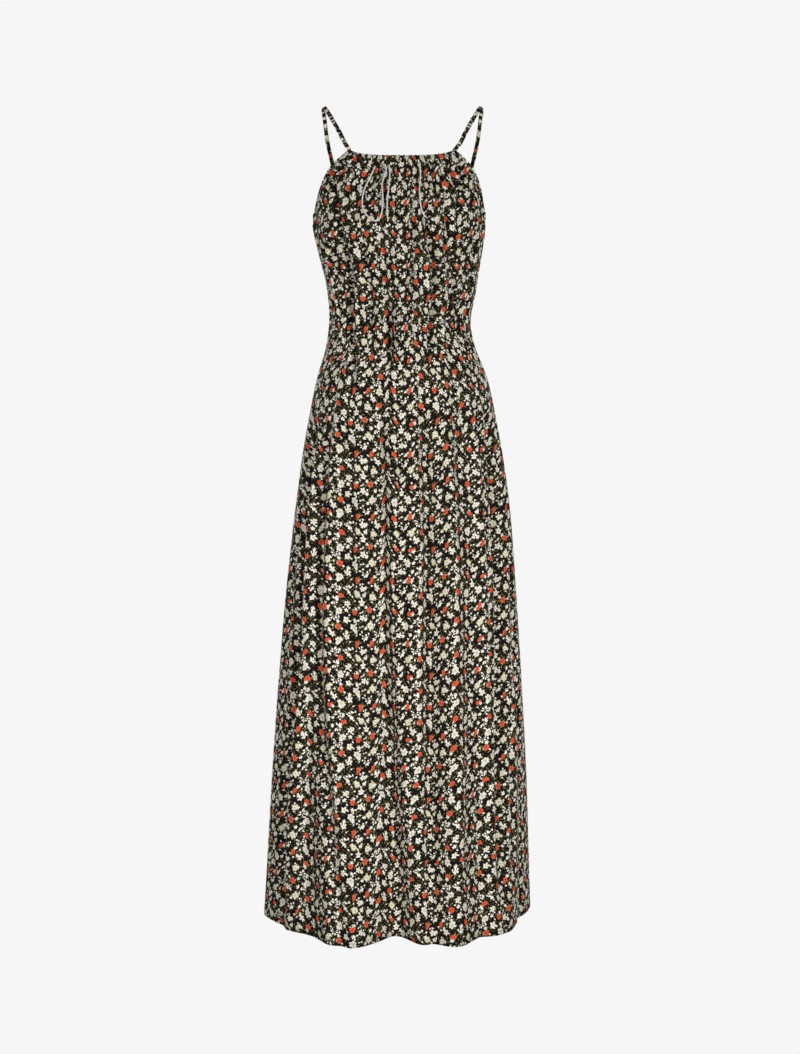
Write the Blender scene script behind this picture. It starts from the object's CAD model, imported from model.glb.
# %% [markdown]
# # A printed maxi dress
#
# The real dress is light cloth with a small flower print on a near-black ground. It is gathered on
# a drawstring at the neck, drawn in at the waist, and falls in soft flutes to the ankle.
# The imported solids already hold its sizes, its gathers and its flutes, so this script keeps them as
# a fixed frame. Each plain solid gets a thin, finer shell in the same place, with its print, its
# creases and its sewing. A frame like this could be sculpted over by eye, but working the shells
# out from the same sizes keeps every piece on its solid, and only the creases leave it.

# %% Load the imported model
import math
from collections import namedtuple

import bpy
import numpy as np
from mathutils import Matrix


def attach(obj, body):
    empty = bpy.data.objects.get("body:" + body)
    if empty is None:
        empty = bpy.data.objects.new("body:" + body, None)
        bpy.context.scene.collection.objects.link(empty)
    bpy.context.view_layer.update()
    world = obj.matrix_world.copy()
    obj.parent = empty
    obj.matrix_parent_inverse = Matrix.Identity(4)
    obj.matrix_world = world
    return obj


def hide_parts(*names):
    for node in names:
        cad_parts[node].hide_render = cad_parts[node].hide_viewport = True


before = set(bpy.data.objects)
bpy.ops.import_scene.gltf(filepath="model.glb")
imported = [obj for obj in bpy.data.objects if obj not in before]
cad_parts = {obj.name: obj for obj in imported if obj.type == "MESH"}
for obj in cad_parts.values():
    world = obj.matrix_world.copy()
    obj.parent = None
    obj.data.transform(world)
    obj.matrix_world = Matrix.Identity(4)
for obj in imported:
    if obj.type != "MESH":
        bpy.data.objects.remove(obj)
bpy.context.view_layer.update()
print("nodes:", ", ".join(sorted(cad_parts)))

# %% [markdown]
# ## The camera
#
# A dress is photographed from a few metres off with a long lens, so that the hem isn't much larger
# than the shoulders. The hem shows the angle: its front hangs lower in the picture than its sides,
# so the camera stands near the height of the chest and looks a little down. It could be placed by
# trying angles, but two heights and a distance say the same thing in plain sizes.

# %% Place the camera
CAMERA_DISTANCE = 3.3825
CAMERA_HEIGHT = -0.2443
AIM_BELOW = 0.4613
FIELD_OF_VIEW = 29.6
SENSOR = 36.0


def add_camera():
    """The camera in front of the dress, aimed below its own height."""
    lens = bpy.data.cameras.new("camera")
    lens.sensor_fit = "VERTICAL"
    lens.sensor_height = SENSOR
    lens.lens = SENSOR / 2.0 / math.tan(math.radians(FIELD_OF_VIEW) / 2.0)
    camera = bpy.data.objects.new("camera", lens)
    camera.location = (0.0, -CAMERA_DISTANCE, CAMERA_HEIGHT)
    camera.rotation_euler = (math.pi / 2.0 - math.atan(AIM_BELOW / CAMERA_DISTANCE), 0.0, 0.0)
    bpy.context.scene.collection.objects.link(camera)
    bpy.context.scene.camera = camera
    return camera


print("camera at", tuple(round(v, 3) for v in add_camera().location))

# %% [markdown]
# ## The body of the dress
#
# The dress is worn, with nobody in it, so its shape is a stack of rounded levels: how wide each is,
# how far it reaches in front and behind, and how far its middle sways to one side. A mesh could be
# sculpted to this, but a short table of levels with a smooth curve through it gives any number of
# points, and the folds can be added to it one by one.

# %% Levels of the body
LENGTH = 1.375
CLOTH = 0.0012
SEAM_GAP = 0.0003
SIDE_TRIM = 0.6 * SEAM_GAP
CASING_DEPTH = 0.018
CASING_THICK = 0.0036
CASING_REACH = 0.996
BINDING_WIDE = 0.0045
BINDING_THICK = 0.0026
STRAP_WIDE = 0.0075
STRAP_THICK = 0.0028
CORD_THICK = 0.0022


def table(kind, *rows):
    """A table: each row becomes a kind whose columns have names."""
    return [kind(*row) for row in rows]


Section = namedtuple("Section", "drop half_width front back sway")
SECTIONS = table(
    Section,
    (0.000, 0.090, 0.040, 0.040, 0.0040), (0.060, 0.1185, 0.080, 0.068, 0.0035),
    (0.100, 0.1338, 0.098, 0.084, 0.0020), (0.150, 0.1425, 0.114, 0.094, 0.0000),
    (0.195, 0.1434, 0.123, 0.097, -0.0012), (0.240, 0.1368, 0.125, 0.095, 0.0002),
    (0.300, 0.1253, 0.112, 0.086, 0.0026), (0.360, 0.1178, 0.098, 0.078, -0.0002),
    (0.395, 0.1240, 0.099, 0.083, 0.0010), (0.445, 0.1420, 0.106, 0.099, 0.0036),
    (0.530, 0.1608, 0.117, 0.124, 0.0040), (0.660, 0.1812, 0.134, 0.144, 0.0045),
    (0.832, 0.1982, 0.157, 0.159, 0.0010), (1.096, 0.2158, 0.186, 0.181, -0.0012),
    (LENGTH, 0.2275, 0.212, 0.204, -0.0040),
)


def smooth(t):
    """0 below 0, 1 above 1, and an easy S between."""
    t = np.clip(t, 0.0, 1.0)
    return t * t * (3.0 - 2.0 * t)


def bump(t):
    """1 at 0, falling to 0 at -1 and 1."""
    return np.cos(np.clip(t, -1.0, 1.0) * math.pi / 2.0) ** 2


def through(places, values, at):
    """A smooth curve through the values at the places, which rise, read at other places."""
    places, values, at = (np.asarray(x, float) for x in (places, values, at))
    steps = np.diff(places)
    slopes = np.diff(values) / steps
    tangents = np.concatenate([slopes[:1], np.zeros(len(slopes) - 1), slopes[-1:]])
    inner = (slopes[:-1] * steps[1:] + slopes[1:] * steps[:-1]) / (steps[1:] + steps[:-1])
    tangents[1:-1] = inner
    k = np.clip(np.searchsorted(places, at, side="right") - 1, 0, len(steps) - 1)
    t = (np.clip(at, places[0], places[-1]) - places[k]) / steps[k]
    a = values[k] * (1 + 2 * t) * (1 - t) ** 2 + values[k + 1] * (3 - 2 * t) * t * t
    b = tangents[k] * t * (1 - t) ** 2 - tangents[k + 1] * (1 - t) * t * t
    return a + b * steps[k]


def body_size(name, drop):
    """One column of SECTIONS, read at a drop below the shoulders."""
    return through([s.drop for s in SECTIONS], [getattr(s, name) for s in SECTIONS], drop)


def ring(bearing, drop, out=0.0):
    """Points on the body, moved out by a distance. A bearing is 0 in front, 90 at the left side."""
    turn = np.radians(bearing)
    sine, cosine = np.sin(turn), np.cos(turn)
    wide = body_size("half_width", drop)
    deep = np.where(cosine > 0, body_size("front", drop), body_size("back", drop))
    normal_x, normal_y = deep * sine, -wide * cosine
    size = np.hypot(normal_x, normal_y)
    x = body_size("sway", drop) + wide * sine + out * normal_x / size
    y = -deep * cosine + out * normal_y / size
    return np.stack(np.broadcast_arrays(x, y, -np.asarray(drop, float)), axis=-1)


def turned(bearing):
    """A bearing brought between -180 and 180 degrees."""
    return (np.asarray(bearing, float) + 180.0) % 360.0 - 180.0


def unit(v):
    """Vectors brought to a length of 1."""
    return v / np.linalg.norm(v, axis=-1, keepdims=True)


def facing(bearing, drop):
    """The outward direction of the body at a place, worked out from points close by."""
    turn, step = 0.01, 0.0001
    across = ring(bearing + turn, drop) - ring(bearing - turn, drop)
    down = ring(bearing, drop + step) - ring(bearing, drop - step)
    return unit(np.cross(down, across))


print("waist, about", round(2 * float(body_size("half_width", 0.36)), 3), "m wide")

# %% [markdown]
# ## The drawstring
#
# A fine pale cord runs in the neck casing and comes out of it three times: a loose loop on the
# wearer's right, and two free ends. It is limp and light, so it simply lies on the gathers. A curve
# with a round bevel could stand for it, but a tube of points carries a map of its own surface, and
# the twist of the cord can then follow it round every bend. Its route is a few points by hand.

# %% Routes of the drawstring
CordPoint = namedtuple("CordPoint", "across drop")
LOOP_ROUTE = table(
    CordPoint,
    (-0.0400, 0.1014), (-0.0445, 0.1120), (-0.0516, 0.1261), (-0.0574, 0.1390), (-0.0603, 0.1520),
    (-0.0603, 0.1650), (-0.0565, 0.1760), (-0.0490, 0.1845), (-0.0400, 0.1895), (-0.0325, 0.1850),
    (-0.0288, 0.1730), (-0.0275, 0.1580), (-0.0282, 0.1430), (-0.0288, 0.1310), (-0.0264, 0.1220),
    (-0.0230, 0.1130), (-0.0214, 0.1020),
)
LEFT_END_ROUTE = table(
    CordPoint,
    (-0.0169, 0.1021), (-0.0164, 0.1170), (-0.0180, 0.1330), (-0.0195, 0.1480), (-0.0205, 0.1630),
    (-0.0204, 0.1770), (-0.0191, 0.1900),
)
RIGHT_END_ROUTE = table(
    CordPoint,
    (0.0322, 0.1019), (0.0329, 0.1160), (0.0322, 0.1290), (0.0312, 0.1400), (0.0322, 0.1540),
    (0.0338, 0.1670), (0.0368, 0.1770), (0.0421, 0.1840),
)
CORD_STANDOFF = CORD_THICK / 2.0 + SEAM_GAP
CORD_POINTS = 34
CORD_FINE_POINTS = 120


def cord_path(route, count):
    """Points along a route of the drawstring, lying on the body of the dress."""
    reach = np.linspace(0.0, 1.0, len(route))
    at = np.linspace(0.0, 1.0, count)
    across = through(reach, [p.across for p in route], at)
    drop = through(reach, [p.drop for p in route], at)
    share = (across - body_size("sway", drop)) / body_size("half_width", drop)
    return ring(np.degrees(np.arcsin(share)), drop, CORD_STANDOFF)


def reach_along(path):
    """How far along a line of points each point is."""
    return np.concatenate([[0.0], np.cumsum(np.linalg.norm(np.diff(path, axis=0), axis=1))])


def path_length(path):
    """How long a line of points is."""
    return float(reach_along(path)[-1])


print("loop", round(path_length(cord_path(LOOP_ROUTE, CORD_POINTS)), 3), "m long")

# %% [markdown]
# ## Making a surface from a flat grid
#
# Cloth starts flat, so each shell starts as Blender's own flat grid. Every point of the grid is then
# carried to its place on the dress. The grid's map is kept in metres of cloth, so the print follows
# each fold and keeps its size in the skirt. Above the hips part of the cloth's width is lost in tiny
# gathers, and there the print sits closer. Casing, bindings, straps and cord are grids too, rolled
# into a tube: the two long edges are merged and the ends are closed.

# %% Helpers for grids
GRAIN = "grain"
SAME_POINT = 0.000002


def pick_alone(piece=None):
    """Selects one piece and nothing else, or nothing at all."""
    bpy.ops.object.select_all(action="DESELECT")
    if piece:
        piece.select_set(True)
        bpy.context.view_layer.objects.active = piece


def add_grid(name, across, down):
    """A flat grid, and for each point its share across (s) and down (t)."""
    pick_alone()
    bpy.ops.mesh.primitive_grid_add(x_subdivisions=across, y_subdivisions=down, size=2.0)
    piece = bpy.context.active_object
    piece.name = piece.data.name = name
    piece.data.uv_layers[0].name = GRAIN
    flat = np.empty(len(piece.data.vertices) * 3)
    piece.data.vertices.foreach_get("co", flat)
    flat = flat.reshape(-1, 3)
    return piece, np.round((flat[:, 0] + 1.0) / 2.0, 6), np.round((1.0 - flat[:, 1]) / 2.0, 6)


def carry(piece, points, grain):
    """Puts each point of a grid at its place and gives it its place on the flat cloth, in metres."""
    mesh = piece.data
    mesh.vertices.foreach_set("co", np.asarray(points, float).ravel())
    corners = np.empty(len(mesh.loops), int)
    mesh.loops.foreach_get("vertex_index", corners)
    mesh.uv_layers[GRAIN].data.foreach_set("uv", np.asarray(grain, float)[corners].ravel())
    mesh.update()


def edit(piece, *steps):
    """Runs steps of work on the whole of a piece in edit mode."""
    pick_alone(piece)
    bpy.ops.object.mode_set(mode="EDIT")
    bpy.ops.mesh.select_all(action="SELECT")
    for step in steps:
        step()
    bpy.ops.object.mode_set(mode="OBJECT")


def close_tube():
    """Merges a rolled grid's long edges, closes its ends and turns its faces outwards."""
    bpy.ops.mesh.remove_doubles(threshold=SAME_POINT)
    bpy.ops.mesh.fill_holes(sides=0)
    bpy.ops.mesh.select_all(action="SELECT")
    bpy.ops.mesh.normals_make_consistent(inside=False)


def face_outwards(piece):
    """Turns a sheet over where most of it faces the middle of the dress."""
    faces = piece.data.polygons
    out = sum(p.area * (p.normal.x * p.center.x + p.normal.y * p.center.y) for p in faces)
    if out < 0.0:
        edit(piece, bpy.ops.mesh.flip_normals)


def finish(piece, material):
    """Smooth shading, a finish, a place in the record and a ride on the body of the dress."""
    pick_alone(piece)
    bpy.ops.object.shade_smooth()
    if material.name not in piece.data.materials:
        piece.data.materials.append(material)
    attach(piece, "root")
    print(piece.name, len(piece.data.polygons), "faces")
    return piece


print("each grid keeps its map under the name", GRAIN)

# %% A helper for tubes
def roll_tube(name, path, wide_way, wide, thick, around, squareness=1.0, grain_start=(0.0, 0.0)):
    """A tube along a path. Its section is an oval, and more square where squareness is above 1."""
    piece, s, t = add_grid(name, around, len(path) - 1)
    station = np.rint(t * (len(path) - 1)).astype(int)
    along = unit(np.gradient(path, axis=0))
    wide_way = unit(wide_way - along * (wide_way * along).sum(axis=1, keepdims=True))
    thick_way = np.cross(along, wide_way)
    wide = np.broadcast_to(wide, len(path))
    thick = np.broadcast_to(thick, len(path))
    cosine, sine = np.cos(s * 2.0 * math.pi), np.sin(s * 2.0 * math.pi)
    to_side = np.sign(cosine) * np.abs(cosine) ** (1.0 / squareness)
    to_face = np.sign(sine) * np.abs(sine) ** (1.0 / squareness)
    points = path[station] + wide_way[station] * (to_side * wide[station] / 2.0)[:, None]
    points = points + thick_way[station] * (to_face * thick[station] / 2.0)[:, None]
    reach = reach_along(path)
    girth = wide[station] + thick[station]
    grain = np.stack([grain_start[0] + s * girth, grain_start[1] - reach[station]], axis=1)
    carry(piece, points, grain)
    edit(piece, close_tube)
    return piece


print("grids and tubes can be made")

# %% [markdown]
# ## Writing a finish as sums
#
# A print is a lot of small sums: how far a point is from a flower's middle, at what angle, and on
# which side of a petal's edge. Node by node that is hard to read. The little class below wraps one
# socket, so that plus, minus and times in Python add the Math nodes, and any other node comes from
# one method that takes its kind, its settings and its inputs.

# %% A small class for shader sums
class Value:
    """A number that varies over the surface: one output socket of a material's nodes."""

    def __init__(self, finish_nodes, socket):
        self.nodes = finish_nodes
        self.socket = socket

    def math(self, operation, *others, clamp=False):
        """This value joined with others by a Math node."""
        settings = {"operation": operation, "use_clamp": clamp}
        inputs = dict(enumerate([self, *others]))
        return self.nodes.value("ShaderNodeMath", settings, inputs)

    def __add__(self, other):
        return self.math("ADD", other)

    def __sub__(self, other):
        return self.math("SUBTRACT", other)

    def __rsub__(self, other):
        return (self * -1.0).math("ADD", other)

    def __mul__(self, other):
        return self.math("MULTIPLY", other)

    def __truediv__(self, other):
        return self.math("DIVIDE", other)

    def below(self, edge, softness):
        """1 where this is under the edge, 0 where it is over it, with a soft border."""
        settings = {"interpolation_type": "SMOOTHSTEP"}
        inputs = {"Value": self - edge, "From Min": -softness, "From Max": softness}
        inputs.update({"To Min": 1.0, "To Max": 0.0})
        return self.nodes.value("ShaderNodeMapRange", settings, inputs)


class Finish:
    """A material and its nodes."""

    def __init__(self, name, **constants):
        self.material = bpy.data.materials.new(name)
        self.material.use_nodes = True
        self.tree = self.material.node_tree
        self.shader = self.tree.nodes["Principled BSDF"]
        for socket, value in constants.items():
            self.shader.inputs[socket.replace("_", " ")].default_value = value

    def add(self, kind, settings=None, inputs=None):
        """A node of a kind: its settings are made first, then its sockets are filled or linked."""
        node = self.tree.nodes.new(kind)
        for name, value in (settings or {}).items():
            setattr(node, name, value)
        for key, value in (inputs or {}).items():
            if isinstance(value, Value):
                self.tree.links.new(value.socket, node.inputs[key])
            else:
                node.inputs[key].default_value = value
        return node

    def value(self, kind, settings=None, inputs=None, output=0):
        """One output of a new node, ready for sums."""
        return Value(self, self.add(kind, settings, inputs).outputs[output])

    def grain(self):
        """Where a point lies on the flat cloth, in metres."""
        return self.value("ShaderNodeUVMap", {"uv_map": GRAIN})

    def parts(self, vector):
        """The x, y and z of a vector."""
        node = self.add("ShaderNodeSeparateXYZ", None, {0: vector})
        return [Value(self, output) for output in node.outputs]

    def vector(self, x, y, z=0.0):
        """A vector from three values."""
        return self.value("ShaderNodeCombineXYZ", None, {0: x, 1: y, 2: z})

    def noise(self, vector, scale, detail=2.0):
        """Soft noise between 0 and 1."""
        inputs = {"Vector": vector, "Scale": scale, "Detail": detail}
        return self.value("ShaderNodeTexNoise", None, inputs)

    def mix(self, share, first, second):
        """Two colours mixed: all second where the share is 1."""
        node = self.add("ShaderNodeMix", {"data_type": "RGBA"}, {0: share, 6: first, 7: second})
        return Value(self, node.outputs[2])

    def feed(self, socket, value):
        """Links a value to the shader."""
        self.tree.links.new(value.socket, self.shader.inputs[socket])

    def roughen(self, vector, scale, least, span):
        """Roughness that wanders over the surface, up from its least value."""
        self.feed("Roughness", self.noise(vector, scale) * span + least)

    def relieve(self, height, strength, distance):
        """Relief that is too fine to model and shows only in the light."""
        inputs = {"Strength": strength, "Distance": distance, "Height": height}
        self.feed("Normal", self.value("ShaderNodeBump", None, inputs))


def paint(red, green, blue):
    """A colour given as it looks on a screen, from 0 to 255, in Blender's own linear light."""
    screen = [v / 255.0 for v in (red, green, blue)]
    linear = [v / 12.92 if v < 0.04045 else ((v + 0.055) / 1.055) ** 2.4 for v in screen]
    return (*linear, 1.0)


print("mid grey in linear light:", round(paint(128, 128, 128)[0], 3))

# %% [markdown]
# ## The print
#
# The print is a ditsy: small cream and orange flowers, white buds and olive leaves, packed close on
# a near-black ground. The cloth was printed with a roller or a screen, so the design comes back
# every 80 mm across, a little lower each time, and every 104 mm down. It could be a picture wrapped
# on the cloth, but nodes stay sharp at any size. Each kind of motif has its own loose grid of cells:
# a random number, the same one again in each repeat, moves, turns and colours the motif in its cell.

# %% Colours of the print
GROUND = paint(18, 13, 9)
GROUND_WARM = paint(27, 20, 21)
CREAM = paint(236, 230, 214)
CREAM_SHADE = paint(214, 207, 190)
CREAM_HEART = paint(158, 148, 138)
ORANGE = paint(208, 80, 48)
ORANGE_PALE = paint(214, 104, 74)
ORANGE_HEART = paint(172, 48, 22)
OLIVE = paint(150, 146, 84)
OLIVE_DARK = paint(80, 77, 44)
LIME = paint(182, 182, 112)
BUD = paint(246, 242, 232)
print("cream in linear light:", [round(v, 2) for v in CREAM])

# %% Cells that scatter a motif
REPEAT_WIDE = 0.080
REPEAT_TALL = 0.104
REPEAT_STEP = 0.026
EDGE_SOFT = 0.00022
PICK_SOFT = 0.001
LEAST_GROWTH = 0.83
GROWTH_SPAN = 0.34
Layer = namedtuple("Layer", "across down seed shift jitter squash")


class Scatter:
    """One motif in each cell of a loose grid that comes back in every repeat of the print."""

    def __init__(self, f, u, v, layer):
        cell_wide = REPEAT_WIDE / layer.across
        cell_tall = REPEAT_TALL / layer.down
        u = u + layer.shift * cell_wide
        v = v + layer.shift * cell_tall
        v = v + (u / REPEAT_WIDE).math("FLOOR") * REPEAT_STEP
        cell_u = u / cell_wide
        cell_v = v / cell_tall
        column, row = cell_u.math("FLOOR"), cell_v.math("FLOOR")
        self.odd = (column + row).math("FLOORED_MODULO", 2.0)
        same_column = column.math("FLOORED_MODULO", float(layer.across))
        same_row = row.math("FLOORED_MODULO", float(layer.down))
        key = f.vector(same_column, same_row, float(layer.seed))
        random = f.add("ShaderNodeTexWhiteNoise", {"noise_dimensions": "3D"}, {"Vector": key})
        self.pick = Value(f, random.outputs["Value"])
        side, up, self.other = f.parts(Value(f, random.outputs["Color"]))
        growth = side * GROWTH_SPAN + LEAST_GROWTH
        x = (cell_u.math("FRACT") - 0.5) * cell_wide + (side - 0.5) * (2.0 * layer.jitter)
        y = (cell_v.math("FRACT") - 0.5) * cell_tall + (up - 0.5) * (2.0 * layer.jitter)
        settings = {"rotation_type": "Z_AXIS"}
        inputs = {"Vector": f.vector(x, y), "Angle": self.other * (2.0 * math.pi)}
        x, y, _ = f.parts(f.value("ShaderNodeVectorRotate", settings, inputs))
        self.x = x / growth
        self.y = y / growth * (1.0 + layer.squash)
        self.reach = (self.x * self.x + self.y * self.y).math("SQRT")
        self.angle = self.y.math("ARCTAN2", self.x)

    def some(self, share):
        """1 in a share of the cells and 0 in the others."""
        return self.pick.below(share, PICK_SOFT)


print("repeat", REPEAT_WIDE, "by", REPEAT_TALL, "m")

# %% Leaves and buds
LEAF_LONG = 0.0031
LEAF_WIDE = 0.00070
LEAF_BEND = 45.0
BUD_SIZE = 0.0020
BUD_RAG = 0.6
BUD_LIT = 0.4
BUD_SHADING = 0.5


def lay_leaves(f, colour, cells, grown):
    """Slim bent leaves, pointed at both ends."""
    bend = cells.x * cells.x * LEAF_BEND
    along = cells.x / LEAF_LONG
    edge = (1.0 - along * along) * LEAF_WIDE
    mask = ((cells.y + bend).math("ABSOLUTE") - edge).below(0.0, EDGE_SOFT) * grown
    tone = f.mix(cells.other, OLIVE_DARK, OLIVE)
    return f.mix(mask, colour, tone)


def lay_buds(f, colour, cells, rag, grown):
    """Small white buds, each shaded to one side."""
    mask = (cells.reach + rag * BUD_RAG).below(BUD_SIZE, EDGE_SOFT) * grown
    shade = (cells.y / BUD_SIZE + BUD_LIT).math("MULTIPLY", BUD_SHADING, clamp=True)
    return f.mix(mask, colour, f.mix(shade, BUD, CREAM_SHADE))


print("a leaf is", 2.0 * LEAF_LONG, "m long")

# %% Sprays
SPRAY_BUDS = 7.0
SPRAY_RADIUS = 0.0050
SPRAY_BUD_LONG = 0.0020
SPRAY_BUD_WIDE = 0.00125
SPRAY_FAN = 2.3
SPRAY_FAN_SOFT = 0.01
STALK_WIDE = 0.22
STALK_SOFT = 0.15


def lay_sprays(f, colour, cells, chosen):
    """Fans of slim white buds on fine stalks: one bud, turned round the middle of its cell."""
    sector = 2.0 * math.pi / SPRAY_BUDS
    turn = ((cells.angle / sector).math("FRACT") - 0.5) * sector
    out = (cells.reach * turn.math("COSINE") - SPRAY_RADIUS) / SPRAY_BUD_LONG
    side = (cells.reach * turn.math("SINE")) / SPRAY_BUD_WIDE
    fan = cells.angle.math("ABSOLUTE").below(SPRAY_FAN, SPRAY_FAN_SOFT) * chosen
    bud = (out * out + side * side).math("SQRT").below(1.0, EDGE_SOFT / SPRAY_BUD_WIDE)
    stalk = side.math("ABSOLUTE").below(STALK_WIDE, STALK_SOFT)
    stalk = stalk * cells.reach.below(SPRAY_RADIUS, EDGE_SOFT)
    colour = f.mix(stalk * fan, colour, OLIVE)
    return f.mix(bud * fan, colour, BUD)


print("a spray reaches", SPRAY_RADIUS + SPRAY_BUD_LONG, "m from its middle")

# %% Flowers
Flower = namedtuple("Flower", "size petals cut edge body heart")
LEAF_RUFF = Flower(0.0078, 4.0, 0.62, LIME, OLIVE, OLIVE_DARK)
CREAM_BLOOM = Flower(0.0059, 6.0, 0.30, CREAM, CREAM_SHADE, CREAM_HEART)
STAR = Flower(0.0050, 5.0, 0.60, CREAM, CREAM, CREAM_HEART)
SMALL_STAR = Flower(0.0036, 5.0, 0.62, BUD, CREAM, CREAM_SHADE)
ORANGE_BLOOM = Flower(0.0050, 6.0, 0.34, ORANGE_PALE, ORANGE, ORANGE_HEART)
ORANGE_SIDE = Flower(0.0028, 5.0, 0.36, ORANGE_PALE, ORANGE, ORANGE_HEART)
VEIN_SHARPNESS = 3.0
VEIN_STRENGTH = 0.5
HEART_SIZE = 0.22
HEART_STRENGTH = 0.8


def lay_flower(f, colour, cells, rag, chosen, flower, x=0.0, y=0.0):
    """A ragged round flower in the chosen cells, at a place beside the cell's middle."""
    dx, dy = cells.x - x, cells.y - y
    reach = (dx * dx + dy * dy).math("SQRT") + rag
    angle = dy.math("ARCTAN2", dx)
    petal = (angle * (flower.petals / 2.0)).math("COSINE").math("ABSOLUTE")
    edge = (petal * flower.cut + (1.0 - flower.cut)) * flower.size
    mask = (reach - edge).below(0.0, EDGE_SOFT) * chosen
    from_heart = (reach / flower.size).math("MULTIPLY", 1.0, clamp=True)
    body = f.mix(from_heart, flower.body, flower.edge)
    vein = (1.0 - petal).math("POWER", VEIN_SHARPNESS) * VEIN_STRENGTH
    body = f.mix(vein, body, flower.heart)
    heart = reach.below(flower.size * HEART_SIZE, EDGE_SOFT) * HEART_STRENGTH
    return f.mix(mask, colour, f.mix(heart, body, flower.heart))


print("the largest flower is", 2.0 * CREAM_BLOOM.size, "m wide")

# %% The whole print
WANDER = 0.005
WANDER_SCALE = 42.0
RAG = 0.0016
RAG_SCALE = 620.0
GROUND_SCALE = 70.0
LEAF_LAYERS = table(Layer, (9, 12, 11, 0.0, 0.0014, 0.0), (9, 12, 12, 0.5, 0.0014, 0.0))
LEAF_SHARE = 0.80
BUD_LAYERS = table(Layer, (7, 9, 21, 0.25, 0.0026, 0.45), (7, 9, 22, 0.75, 0.0026, 0.45))
BUD_SHARE = 0.60
SMALL_STAR_LAYER = Layer(5, 6, 31, 0.3, 0.0036, 0.15)
SMALL_STAR_SHARE = 0.85
SPRAY_LAYER = Layer(3, 4, 41, 0.5, 0.0040, 0.0)
SPRAY_SHARE = 0.55
BLOOM_LAYER = Layer(3, 4, 42, 0.0, 0.0034, 0.14)
PAIR_SHARE = 0.6
PAIR_PLACE = (0.0062, -0.0026)
RUFF_SHARE = 0.5


def wandered(f, grain):
    """The cloth's map, moved a little this way and that, so that no row of cells stays straight."""
    inputs = {"Vector": grain, "Scale": WANDER_SCALE}
    wander = f.value("ShaderNodeTexNoise", {"noise_dimensions": "2D"}, inputs, 1)
    centred, size = ("SUBTRACT", (0.5, 0.5, 0.5)), ("MULTIPLY", (WANDER, WANDER, 0.0))
    for operation, amount in (centred, size, ("ADD", grain)):
        wander = f.value("ShaderNodeVectorMath", {"operation": operation}, {0: wander, 1: amount})
    return f.parts(wander)


def lay_print(f):
    """The colour of the whole print, from the ground up."""
    grain = f.grain()
    u, v, _ = wandered(f, grain)
    rag = (f.noise(grain, RAG_SCALE, 1.0) - 0.5) * RAG
    colour = f.mix(f.noise(grain, GROUND_SCALE), GROUND, GROUND_WARM)
    for layer in LEAF_LAYERS:
        cells = Scatter(f, u, v, layer)
        colour = lay_leaves(f, colour, cells, cells.some(LEAF_SHARE))
    for layer in BUD_LAYERS:
        cells = Scatter(f, u, v, layer)
        colour = lay_buds(f, colour, cells, rag, cells.some(BUD_SHARE))
    cells = Scatter(f, u, v, SMALL_STAR_LAYER)
    colour = lay_flower(f, colour, cells, rag, cells.some(SMALL_STAR_SHARE), SMALL_STAR)
    cells = Scatter(f, u, v, SPRAY_LAYER)
    spray = cells.some(SPRAY_SHARE)
    colour = lay_sprays(f, colour, cells, spray)
    colour = lay_flower(f, colour, cells, rag, 1.0 - spray, STAR)
    cells = Scatter(f, u, v, BLOOM_LAYER)
    cream = 1.0 - cells.odd
    colour = lay_flower(f, colour, cells, rag, cream * cells.some(RUFF_SHARE), LEAF_RUFF)
    colour = lay_flower(f, colour, cells, rag, cream, CREAM_BLOOM)
    paired = cells.odd * cells.some(PAIR_SHARE)
    colour = lay_flower(f, colour, cells, rag, paired, ORANGE_SIDE, *PAIR_PLACE)
    return lay_flower(f, colour, cells, rag, cells.odd, ORANGE_BLOOM)


print(len(LEAF_LAYERS) + len(BUD_LAYERS) + 3, "layers of motifs")

# %% Make the two sides of the cloth
MATT_SCALE = 260.0
CREPE_SCALE = 1400.0
CREPE_DETAIL = 3.0
CREPE_HIGH = 0.0002
REVERSE_TONE = paint(84, 74, 66)
ClothSide = namedtuple("ClothSide", "name specular roughness span crepe faded")
RIGHT_SIDE = ClothSide("printed_cloth", 0.12, 0.74, 0.16, 0.35, 0.0)
WRONG_SIDE = ClothSide("cloth_reverse", 0.2, 0.80, 0.14, 0.3, 0.62)


def make_cloth(side):
    """One side of the cloth: matt crepe, on whose wrong side the print shows only weakly."""
    f = Finish(side.name, Metallic=0.0, Specular_IOR_Level=side.specular)
    colour = lay_print(f)
    if side.faded:
        colour = f.mix(side.faded, colour, REVERSE_TONE)
    f.feed("Base Color", colour)
    grain = f.grain()
    f.roughen(grain, MATT_SCALE, side.roughness, side.span)
    f.relieve(f.noise(grain, CREPE_SCALE, CREPE_DETAIL), side.crepe, CREPE_HIGH)
    return f.material


PRINTED_CLOTH = make_cloth(RIGHT_SIDE)
CLOTH_REVERSE = make_cloth(WRONG_SIDE)
print("the print has", len(PRINTED_CLOTH.node_tree.nodes), "nodes")

# %% [markdown]
# ## The cord's finish, and the cord
#
# The drawstring is a thin twisted cord in an off-white that has picked up a little pink. Its twist
# is too fine to model, so it is a slanting ripple in the cord's own map.

# %% Make the drawstring
TWIST_PITCH = 0.0016
TWIST_LEAN = 0.6
CORD_DARK = paint(208, 199, 194)
CORD_PALE = paint(252, 249, 245)
FIBRE_SCALE = 900.0
CORD_ROUGHNESS = 0.72
CORD_SPAN = 0.2
TWIST_RELIEF = 0.6
TWIST_HIGH = 0.0003
CORD_SIDES = 12


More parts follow.
